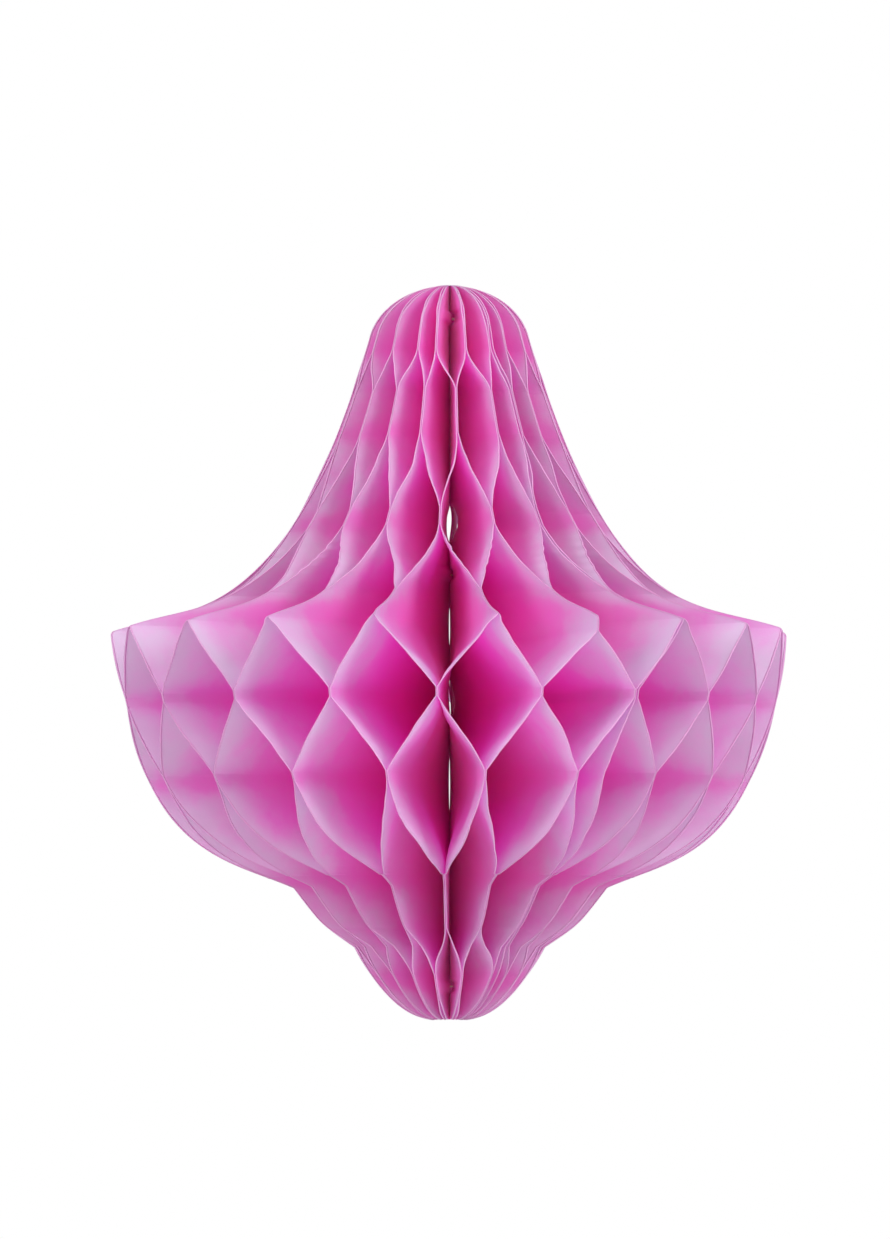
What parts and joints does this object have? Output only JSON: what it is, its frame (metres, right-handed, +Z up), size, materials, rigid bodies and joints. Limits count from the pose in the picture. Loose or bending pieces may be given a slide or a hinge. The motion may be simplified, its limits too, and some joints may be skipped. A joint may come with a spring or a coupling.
{
  "type": "honeycomb paper bell",
  "caption": "Hanging party decoration: a bell with its clapper in one outline, cut from sheets of tissue paper that are glued in rows and opened like a fan into open cells.",
  "frame": {"origin": "top end of the spine, where the bell hangs", "axes": "+Z up along the spine, -Y towards the front of the picture, +X to the right of the picture"},
  "size_m": [0.184, 0.1828, 0.2],
  "materials": {
    "tissue_01": "matt, thin, lets light through",
    "tissue_02": "matt, thin, lets light through",
    "tissue_03": "matt, thin, lets light through",
    "tissue_04": "matt, thin, lets light through",
    "tissue_05": "matt, thin, lets light through",
    "tissue_06": "matt, thin, lets light through",
    "tissue_07": "matt, thin, lets light through",
    "tissue_08": "matt, thin, lets light through",
    "tissue_09": "matt, thin, lets light through",
    "tissue_10": "matt, thin, lets light through",
    "tissue_11": "matt, thin, lets light through",
    "tissue_12": "matt, thin, lets light through",
    "tissue_13": "matt, thin, lets light through",
    "tissue_14": "matt, thin, lets light through",
    "tissue_15": "matt, thin, lets light through",
    "tissue_16": "matt, thin, lets light through",
    "tissue_17": "matt, thin, lets light through",
    "tissue_18": "matt, thin, lets light through",
    "tissue_19": "matt, thin, lets light through",
    "tissue_20": "matt, thin, lets light through",
    "tissue_21": "matt, thin, lets light through",
    "tissue_22": "matt, thin, lets light through",
    "tissue_23": "matt, thin, lets light through",
    "tissue_24": "matt, thin, lets light through",
    "tissue_25": "matt, thin, lets light through",
    "tissue_26": "matt, thin, lets light through",
    "tissue_27": "matt, thin, lets light through",
    "tissue_28": "matt, thin, lets light through",
    "tissue_29": "matt, thin, lets light through",
    "tissue_30": "matt, thin, lets light through",
    "tissue_31": "matt, thin, lets light through",
    "tissue_32": "matt, thin, lets light through",
    "tissue_33": "matt, thin, lets light through",
    "tissue_34": "matt, thin, lets light through",
    "tissue_35": "matt, thin, lets light through",
    "tissue_36": "matt, thin, lets light through",
    "tissue_37": "matt, thin, lets light through",
    "tissue_38": "matt, thin, lets light through",
    "tissue_39": "matt, thin, lets light through",
    "tape_top": "matt",
    "tape_middle": "matt",
    "tape_lip": "matt",
    "thread_top": "matt",
    "thread_middle": "matt",
    "thread_bottom": "matt"
  },
  "bodies": {
    "root": {"leaf_01": "tissue_01", "leaf_02": "tissue_02", "leaf_03": "tissue_03", "leaf_04": "tissue_04", "leaf_05": "tissue_05", "leaf_06": "tissue_06", "leaf_07": "tissue_07", "leaf_08": "tissue_08", "leaf_09": "tissue_09", "leaf_10": "tissue_10", "leaf_11": "tissue_11", "leaf_12": "tissue_12", "leaf_13": "tissue_13", "leaf_14": "tissue_14", "leaf_15": "tissue_15", "leaf_16": "tissue_16", "leaf_17": "tissue_17", "leaf_18": "tissue_18", "leaf_19": "tissue_19", "leaf_20": "tissue_20", "leaf_21": "tissue_21", "leaf_22": "tissue_22", "leaf_23": "tissue_23", "leaf_24": "tissue_24", "leaf_25": "tissue_25", "leaf_26": "tissue_26", "leaf_27": "tissue_27", "leaf_28": "tissue_28", "leaf_29": "tissue_29", "leaf_30": "tissue_30", "leaf_31": "tissue_31", "leaf_32": "tissue_32", "leaf_33": "tissue_33", "leaf_34": "tissue_34", "leaf_35": "tissue_35", "leaf_36": "tissue_36", "leaf_37": "tissue_37", "leaf_38": "tissue_38", "leaf_39": "tissue_39", "seam_tape_top": "tape_top", "seam_tape_middle": "tape_middle", "seam_tape_lip": "tape_lip", "binding_thread_top": "thread_top", "binding_thread_middle": "thread_middle", "binding_thread_bottom": "thread_bottom"}
  },
  "joints": []
}
